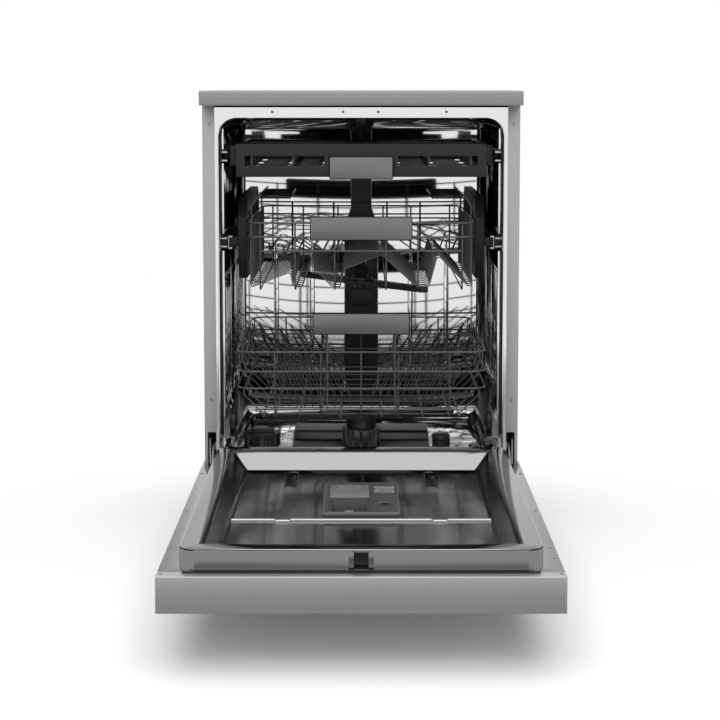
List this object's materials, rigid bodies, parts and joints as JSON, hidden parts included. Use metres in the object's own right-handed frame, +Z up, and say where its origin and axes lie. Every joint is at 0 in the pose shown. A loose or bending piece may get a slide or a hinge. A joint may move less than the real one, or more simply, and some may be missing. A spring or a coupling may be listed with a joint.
{
  "type": "built-in dishwasher",
  "caption": "Built-in dishwasher with a drop-down door, sliding cutlery tray, height-adjustable upper basket, wheeled lower basket, spray arms, filter and dosing lids",
  "frame": {"origin": "on the floor, under the middle of the front plane of the cabinet's side panels", "axes": "+X to the viewer's right across the cabinet, +Y from the front to the back, +Z up; the door lies open along -Y at rest"},
  "size_m": [0.599, 1.275, 0.85],
  "materials": {
    "worktop": "chipboard with a light grey satin laminate",
    "cabinet_sheet": "grey powder-coated sheet steel",
    "plinth_sheet": "black powder-coated sheet steel",
    "tub_steel": "bright rolled stainless steel, close to a mirror",
    "liner_steel": "satin stainless steel",
    "door_skin": "silver-grey coated sheet steel",
    "seal_rubber": "black soft seal",
    "bracket_steel": "zinc-plated steel hardware",
    "spring_steel": "oiled spring steel",
    "base_plastic": "black moulded polypropylene",
    "dark_plastic": "dark grey moulded polypropylene",
    "mid_plastic": "mid grey moulded polypropylene",
    "pale_plastic": "pale grey moulded plastic",
    "filter_steel": "perforated stainless filter sheet",
    "basket_wire": "grey nylon-coated steel wire",
    "shelf_wire": "black nylon-coated steel wire",
    "handle_steel": "brushed stainless grip",
    "rail_steel": "rolled stainless runner",
    "foot_plastic": "black moulded foot"
  },
  "bodies": {
    "cabinet": {"side_panel_left": "cabinet_sheet", "side_panel_right": "cabinet_sheet", "worktop": "worktop", "rear_panel": "cabinet_sheet", "plinth": "plinth_sheet", "tub": "tub_steel", "door_seal": "seal_rubber", "base_tray": "base_plastic", "hinge_brackets": "bracket_steel", "door_springs": "spring_steel", "sump": "base_plastic", "filter_plate": "filter_steel", "softener_tank": "mid_plastic", "circulation_pump": "base_plastic", "drain_pump": "base_plastic", "inlet_valve": "mid_plastic", "power_inlet": "base_plastic", "spray_column": "dark_plastic", "basket_ledges": "rail_steel", "rail_outer": "rail_steel", "tray_rails": "rail_steel", "door_lock": "base_plastic"},
    "door": {"door_panel": "door_skin", "door_cap": "door_skin", "door_liner": "liner_steel", "hinge_arms": "bracket_steel", "door_latch": "dark_plastic", "dispenser_body": "mid_plastic", "control_board": "mid_plastic"},
    "cutlery_tray": {"tray_frame": "dark_plastic", "tray_inserts": "mid_plastic", "tray_handle": "handle_steel"},
    "upper_basket": {"upper_basket_wires": "basket_wire", "upper_basket_handle": "handle_steel", "height_adjusters": "dark_plastic", "upper_feed_pipe": "dark_plastic"},
    "lower_basket": {"lower_basket_wires": "basket_wire", "lower_basket_handle": "handle_steel", "wheel_brackets": "dark_plastic"},
    "foot_front_left": {"foot_front_left": "foot_plastic"},
    "foot_front_right": {"foot_front_right": "foot_plastic"},
    "foot_rear_left": {"foot_rear_left": "foot_plastic"},
    "foot_rear_right": {"foot_rear_right": "foot_plastic"},
    "filter_cylinder": {"filter_cylinder": "mid_plastic"},
    "lower_spray_arm": {"lower_spray_arm": "dark_plastic"},
    "salt_cap": {"salt_cap": "dark_plastic"},
    "level_float": {"level_float": "mid_plastic"},
    "lock_bolt": {"lock_bolt": "pale_plastic"},
    "detergent_lid": {"detergent_lid": "pale_plastic"},
    "rinse_aid_lid": {"rinse_aid_lid": "pale_plastic"},
    "upper_spray_arm": {"upper_spray_arm": "dark_plastic"},
    "cup_shelf_left": {"cup_shelf_left": "shelf_wire"},
    "cup_shelf_right": {"cup_shelf_right": "shelf_wire"},
    "rail_middle": {"rail_middle": "rail_steel"},
    "folding_tines_left": {"folding_tines_left": "basket_wire"},
    "folding_tines_right": {"folding_tines_right": "basket_wire"},
    "wheel_front_left": {"wheel_front_left": "dark_plastic"},
    "wheel_front_right": {"wheel_front_right": "dark_plastic"},
    "wheel_rear_left": {"wheel_rear_left": "dark_plastic"},
    "wheel_rear_right": {"wheel_rear_right": "dark_plastic"}
  },
  "joints": [
    {"name": "door_hinge", "type": "hinge", "parent": "cabinet", "child": "door", "pos_m": [0, -0.031, 0.12], "axis": [-1, 0, 0], "range_deg": [0, 90]},
    {"name": "detergent_lid_slide", "type": "slide", "parent": "door", "child": "detergent_lid", "axis": [0, -1, 0], "range_m": [0, 0.09]},
    {"name": "rinse_lid_hinge", "type": "hinge", "parent": "door", "child": "rinse_aid_lid", "pos_m": [0.04, -0.273, 0.163], "axis": [1, 0, 0], "range_deg": [-90, 0]},
    {"name": "lock_bolt_slide", "type": "slide", "parent": "cabinet", "child": "lock_bolt", "axis": [0, 0, -1], "range_m": [0, 0.014]},
    {"name": "tray_slide", "type": "slide", "parent": "cabinet", "child": "cutlery_tray", "axis": [0, 1, 0], "range_m": [-0.45, 0]},
    {"name": "upper_basket_slide", "type": "slide", "parent": "cabinet", "child": "upper_basket", "axis": [0, 1, 0], "range_m": [-0.45, 0]},
    {"name": "rail_middle_slide", "type": "slide", "parent": "cabinet", "child": "rail_middle", "axis": [0, 1, 0], "range_m": [-0.225, 0]},
    {"name": "lower_basket_slide", "type": "slide", "parent": "cabinet", "child": "lower_basket", "axis": [0, 1, 0], "range_m": [-0.5, 0]},
    {"name": "upper_arm_spin", "type": "hinge", "parent": "upper_basket", "child": "upper_spray_arm", "pos_m": [0, 0.272, 0.455], "axis": [0, 0, 1], "continuous": true},
    {"name": "lower_arm_spin", "type": "hinge", "parent": "cabinet", "child": "lower_spray_arm", "pos_m": [0, 0.272, 0.176], "axis": [0, 0, 1], "continuous": true},
    {"name": "cup_shelf_right_fold", "type": "hinge", "parent": "upper_basket", "child": "cup_shelf_right", "pos_m": [0.205, 0.245, 0.64], "axis": [0, 1, 0], "range_deg": [-85, 0]},
    {"name": "cup_shelf_left_fold", "type": "hinge", "parent": "upper_basket", "child": "cup_shelf_left", "pos_m": [-0.205, 0.245, 0.64], "axis": [0, -1, 0], "range_deg": [-85, 0]},
    {"name": "tines_left_fold", "type": "hinge", "parent": "lower_basket", "child": "folding_tines_left", "pos_m": [-0.107, 0.3, 0.22661], "axis": [1, 0, 0], "range_deg": [0, 95]},
    {"name": "tines_right_fold", "type": "hinge", "parent": "lower_basket", "child": "folding_tines_right", "pos_m": [0.107, 0.3, 0.22661], "axis": [1, 0, 0], "range_deg": [0, 95]},
    {"name": "filter_twist", "type": "hinge", "parent": "cabinet", "child": "filter_cylinder", "pos_m": [0, 0.272, 0.14], "axis": [0, 0, 1], "range_deg": [-90, 0]},
    {"name": "salt_cap_twist", "type": "hinge", "parent": "cabinet", "child": "salt_cap", "pos_m": [-0.205, 0.25, 0.13], "axis": [0, 0, 1], "continuous": true},
    {"name": "float_slide", "type": "slide", "parent": "cabinet", "child": "level_float", "axis": [0, 0, 1], "range_m": [0, 0.012]},
    {"name": "wheel_front_left_spin", "type": "hinge", "parent": "lower_basket", "child": "wheel_front_left", "pos_m": [-0.252, 0.09, 0.203], "axis": [1, 0, 0], "continuous": true},
    {"name": "wheel_front_right_spin", "type": "hinge", "parent": "lower_basket", "child": "wheel_front_right", "pos_m": [0.252, 0.09, 0.203], "axis": [1, 0, 0], "continuous": true},
    {"name": "wheel_rear_left_spin", "type": "hinge", "parent": "lower_basket", "child": "wheel_rear_left", "pos_m": [-0.252, 0.45, 0.203], "axis": [1, 0, 0], "continuous": true},
    {"name": "wheel_rear_right_spin", "type": "hinge", "parent": "lower_basket", "child": "wheel_rear_right", "pos_m": [0.252, 0.45, 0.203], "axis": [1, 0, 0], "continuous": true},
    {"name": "foot_front_left_twist", "type": "hinge", "parent": "cabinet", "child": "foot_front_left", "pos_m": [-0.255, 0.06, 0.04], "axis": [0, 0, 1], "continuous": true},
    {"name": "foot_front_right_twist", "type": "hinge", "parent": "cabinet", "child": "foot_front_right", "pos_m": [0.255, 0.06, 0.04], "axis": [0, 0, 1], "continuous": true},
    {"name": "foot_rear_left_twist", "type": "hinge", "parent": "cabinet", "child": "foot_rear_left", "pos_m": [-0.255, 0.505, 0.04], "axis": [0, 0, 1], "continuous": true},
    {"name": "foot_rear_right_twist", "type": "hinge", "parent": "cabinet", "child": "foot_rear_right", "pos_m": [0.255, 0.505, 0.04], "axis": [0, 0, 1], "continuous": true}
  ],
  "couplings": [
    {"joint": "rail_middle_slide", "follows": "upper_basket_slide", "ratio": 0.5},
    {"joint": "wheel_front_left_spin", "follows": "lower_basket_slide", "rad_per_m": -50.761},
    {"joint": "wheel_front_right_spin", "follows": "lower_basket_slide", "rad_per_m": -50.761},
    {"joint": "wheel_rear_left_spin", "follows": "lower_basket_slide", "rad_per_m": -50.761},
    {"joint": "wheel_rear_right_spin", "follows": "lower_basket_slide", "rad_per_m": -50.761}
  ]
}
